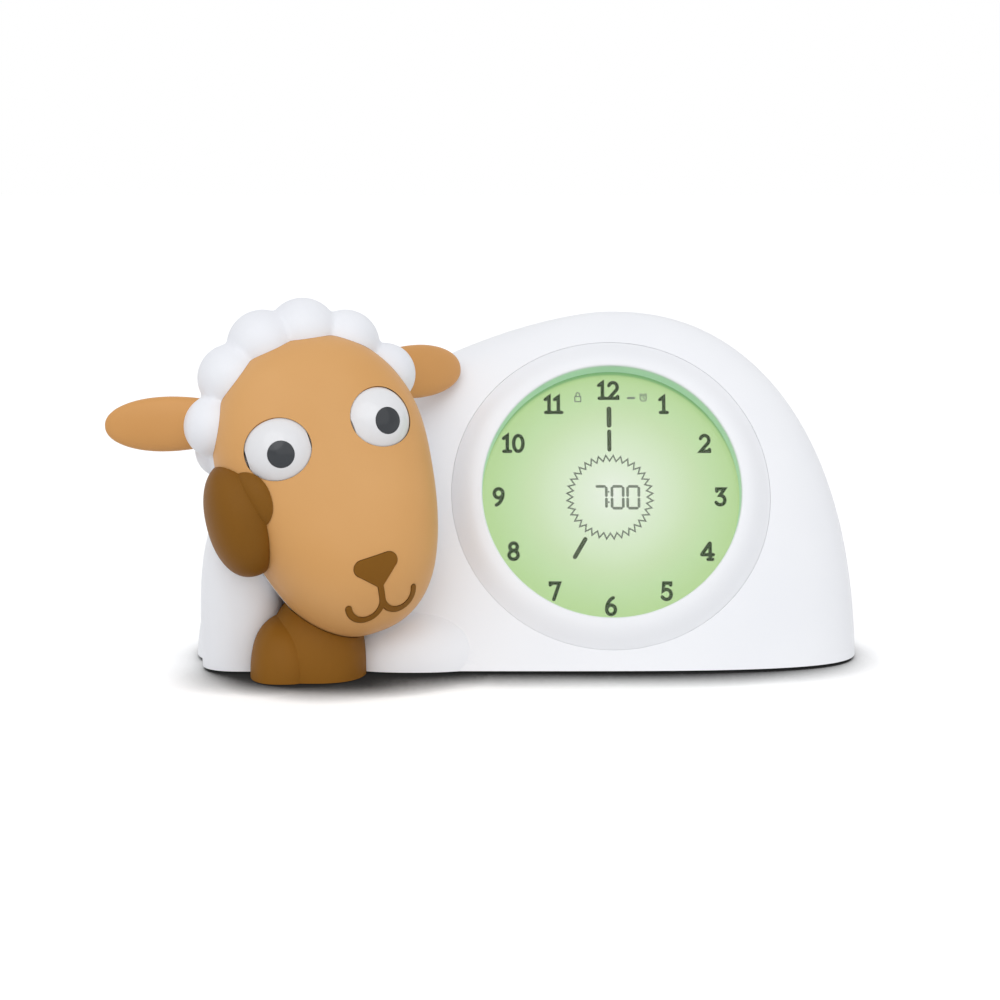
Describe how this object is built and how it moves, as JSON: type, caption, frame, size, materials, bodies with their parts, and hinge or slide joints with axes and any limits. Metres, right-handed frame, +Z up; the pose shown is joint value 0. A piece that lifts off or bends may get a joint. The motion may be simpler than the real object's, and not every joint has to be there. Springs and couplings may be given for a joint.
{
  "type": "alarm clock",
  "caption": "Children's alarm clock and night light: domed white body with a round lit dial, beside a resting lamb whose eyes close, with buttons and battery door at the back.",
  "frame": {"origin": "on the table under the middle of the clock body (midway between its left and right ends and between front and back at the base)", "axes": "+X to the right seen from the dial side, +Y towards the back, +Z up; the dial faces -Y and leans back"},
  "size_m": [0.2499, 0.1197, 0.1237],
  "materials": {
    "white_shell": "fine satin moulding",
    "fleece_white": "soft satin moulding",
    "white_inner": "plain moulding",
    "tan_plastic": "satin",
    "brown_plastic": "satin",
    "eye_white": "polished",
    "pupil_black": "polished",
    "dial_lens": "clear, slightly tinted",
    "display": "lit pale green, fading to white in the middle",
    "diffuser": "opal",
    "led": "clear dome",
    "circuit_board": "solder mask",
    "black_plastic": "satin",
    "grey_plastic": "fine texture",
    "soft_button": "satin",
    "rubber": "matt",
    "steel": "zinc plated",
    "motor_metal": "bright",
    "cell_wrap": "gloss wrap",
    "paper_cone": "matt"
  },
  "bodies": {
    "clock": {"front_shell": "white_shell", "rear_shell": "white_shell", "base_plate": "grey_plastic", "base_screws": "steel", "rubber_feet": "rubber", "housing_screws": "steel", "bezel_ring": "white_shell", "dial_lens": "dial_lens", "display_glass": "display", "display_holder": "white_inner", "light_diffuser": "diffuser", "light_box": "white_inner", "light_box_screws": "steel", "led_board": "circuit_board", "leds": "led", "face_mask": "tan_plastic", "fleece_hood": "fleece_white", "nose_inlay": "brown_plastic", "ear_left": "tan_plastic", "ear_right": "tan_plastic", "neck_collar": "white_inner", "neck_nut": "white_inner", "eye_bracket": "white_inner", "eye_bracket_screws": "steel", "lid_motors": "motor_metal", "hoof_lying": "brown_plastic", "hoof_propped": "brown_plastic", "main_board": "circuit_board", "main_board_chips": "black_plastic", "button_board": "circuit_board", "tact_switches": "black_plastic", "light_board": "circuit_board", "battery_box": "white_inner", "battery_cells": "cell_wrap", "battery_contacts": "motor_metal", "speaker_basket": "black_plastic", "speaker_cone": "paper_cone", "power_socket": "black_plastic"},
    "left_eye": {"eye_core_left": "white_inner", "eye_white_left": "eye_white", "pupil_left": "pupil_black", "eyelid_left": "tan_plastic"},
    "right_eye": {"eye_core_right": "white_inner", "eye_white_right": "eye_white", "pupil_right": "pupil_black", "eyelid_right": "tan_plastic"},
    "left_pinion": {"lid_pinion_left": "white_inner"},
    "right_pinion": {"lid_pinion_right": "white_inner"},
    "slider": {"volume_slider": "grey_plastic"},
    "light_key": {"light_button": "soft_button"},
    "door": {"battery_door": "white_shell", "door_screws": "steel"},
    "key_1": {"button_1": "soft_button"},
    "key_2": {"button_2": "soft_button"},
    "key_3": {"button_3": "soft_button"},
    "key_4": {"button_4": "soft_button"},
    "key_5": {"button_5": "soft_button"}
  },
  "joints": [
    {"name": "left_eye_turn", "type": "hinge", "parent": "clock", "child": "left_eye", "pos_m": [-0.07883, -0.06292, 0.07623], "axis": [0.9533, 0.1269, 0.2742], "range_deg": [0, 107]},
    {"name": "left_pinion_turn", "type": "hinge", "parent": "clock", "child": "left_pinion", "pos_m": [-0.0794, -0.04873, 0.07163], "axis": [0.9533, 0.1269, 0.2742], "range_deg": [-130.45, 4]},
    {"name": "right_eye_turn", "type": "hinge", "parent": "clock", "child": "right_eye", "pos_m": [-0.05015, -0.05248, 0.0844], "axis": [0.8224, 0.5194, 0.2322], "range_deg": [0, 107]},
    {"name": "right_pinion_turn", "type": "hinge", "parent": "clock", "child": "right_pinion", "pos_m": [-0.05614, -0.04026, 0.07826], "axis": [0.8224, 0.5194, 0.2322], "range_deg": [-130.45, 4]},
    {"name": "key_1_press", "type": "slide", "parent": "clock", "child": "key_1", "axis": [0, -1, 0], "range_m": [0, 0.001], "stiffness_N_per_m": 400, "springref_m": -0.0005},
    {"name": "key_2_press", "type": "slide", "parent": "clock", "child": "key_2", "axis": [0, -1, 0], "range_m": [0, 0.001], "stiffness_N_per_m": 400, "springref_m": -0.0005},
    {"name": "key_3_press", "type": "slide", "parent": "clock", "child": "key_3", "axis": [0, -1, 0], "range_m": [0, 0.001], "stiffness_N_per_m": 400, "springref_m": -0.0005},
    {"name": "key_4_press", "type": "slide", "parent": "clock", "child": "key_4", "axis": [0, -1, 0], "range_m": [0, 0.001], "stiffness_N_per_m": 400, "springref_m": -0.0005},
    {"name": "key_5_press", "type": "slide", "parent": "clock", "child": "key_5", "axis": [0, -1, 0], "range_m": [0, 0.001], "stiffness_N_per_m": 400, "springref_m": -0.0005},
    {"name": "slider_slide", "type": "slide", "parent": "clock", "child": "slider", "axis": [1, 0, 0], "range_m": [0, 0.006]},
    {"name": "light_key_press", "type": "slide", "parent": "clock", "child": "light_key", "axis": [0, -0.7812, -0.6243], "range_m": [0, 0.0012], "stiffness_N_per_m": 400, "springref_m": -0.0005},
    {"name": "door_lift_off", "type": "slide", "parent": "clock", "child": "door", "axis": [0, 1, 0], "range_m": [0, 0.016]}
  ],
  "couplings": [
    {"joint": "left_pinion_turn", "follows": "left_eye_turn", "ratio": -1.1818},
    {"joint": "right_pinion_turn", "follows": "right_eye_turn", "ratio": -1.1818}
  ]
}
